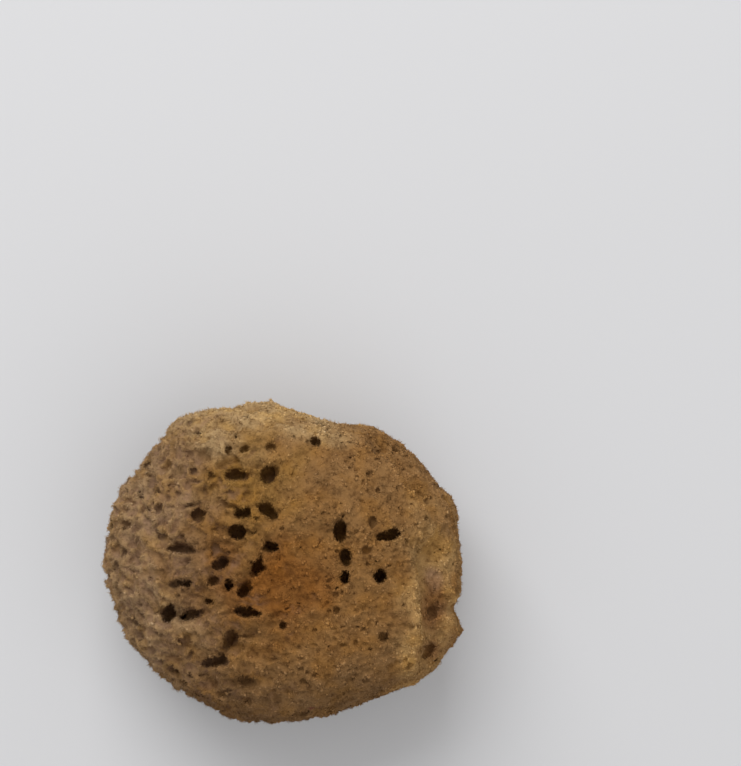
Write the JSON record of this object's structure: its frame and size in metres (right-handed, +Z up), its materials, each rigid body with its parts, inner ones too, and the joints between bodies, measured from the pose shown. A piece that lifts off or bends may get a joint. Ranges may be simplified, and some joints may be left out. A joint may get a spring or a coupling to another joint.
{
  "type": "sea sponge",
  "caption": "Dried, unbleached sea sponge: a rounded, slightly boxy cushion full of pores and canals, resting on the flat face where it was cut from the rock.",
  "frame": {"origin": "centre of the box's lowest face, on the flat face where the sponge was cut from the rock", "axes": "+X along the sponge's long way, +Y towards its far side seen from above, +Z up out of the cut face"},
  "size_m": [0.0962, 0.0858, 0.0605],
  "materials": {
    "spongin": "matt, fibrous and felt-like, honey brown with greyer tips and dark pores"
  },
  "bodies": {
    "root": {"sponge": "spongin"}
  },
  "joints": []
}
